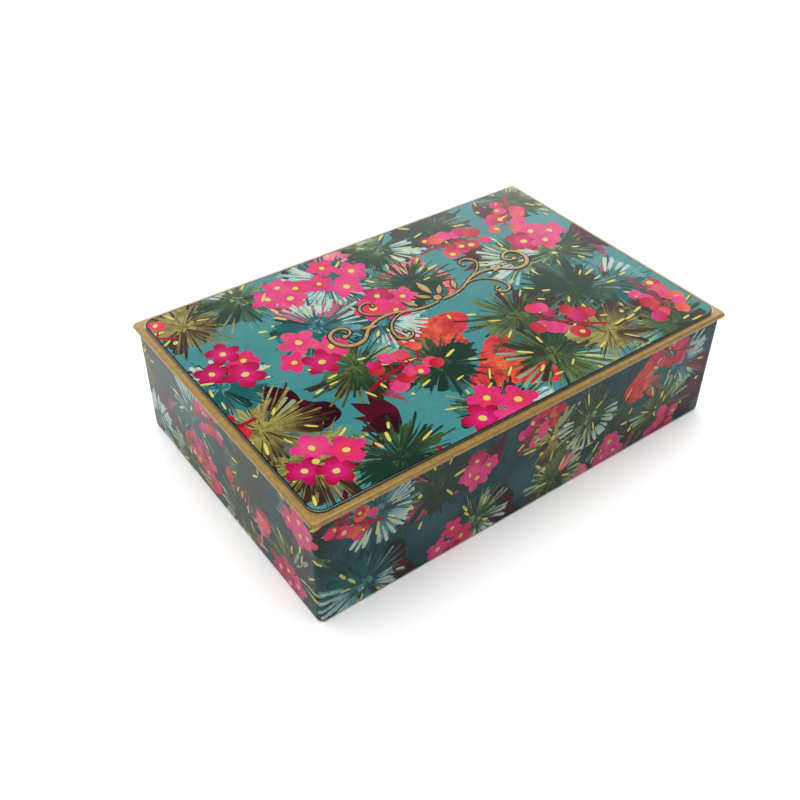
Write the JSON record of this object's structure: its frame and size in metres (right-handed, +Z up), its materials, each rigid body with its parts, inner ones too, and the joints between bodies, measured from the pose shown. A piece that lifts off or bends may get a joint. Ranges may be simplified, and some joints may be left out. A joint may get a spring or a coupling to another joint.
{
  "type": "hinged gift tin",
  "caption": "Shallow rectangular hinged tin with a printed wall and lid, a gold border round the raised lid panel and a wire hinge at the back.",
  "frame": {"origin": "middle of the base, on the surface the tin stands on", "axes": "+X along the long side, +Y towards the hinge side, +Z up"},
  "size_m": [0.186, 0.124, 0.0492],
  "materials": {
    "printed_tinplate_body": "glossy offset-printed lacquer, botanical pattern on dark teal",
    "printed_tinplate_lid": "glossy offset-printed lacquer, botanical pattern on teal with a gold border",
    "lacquered_tinplate": "tinplate under clear gold lacquer, fine rolling lines",
    "steel_wire": "drawn tinned steel wire"
  },
  "bodies": {
    "box": {"body_wall": "printed_tinplate_body", "base_panel": "lacquered_tinplate"},
    "lid": {"lid": "printed_tinplate_lid", "hinge_wire_left": "steel_wire", "hinge_wire_right": "steel_wire"}
  },
  "joints": [
    {"name": "lid_hinge", "type": "hinge", "parent": "box", "child": "lid", "pos_m": [0, 0.06126, 0.04675], "axis": [-1, 0, 0], "range_deg": [0, 105]}
  ]
}
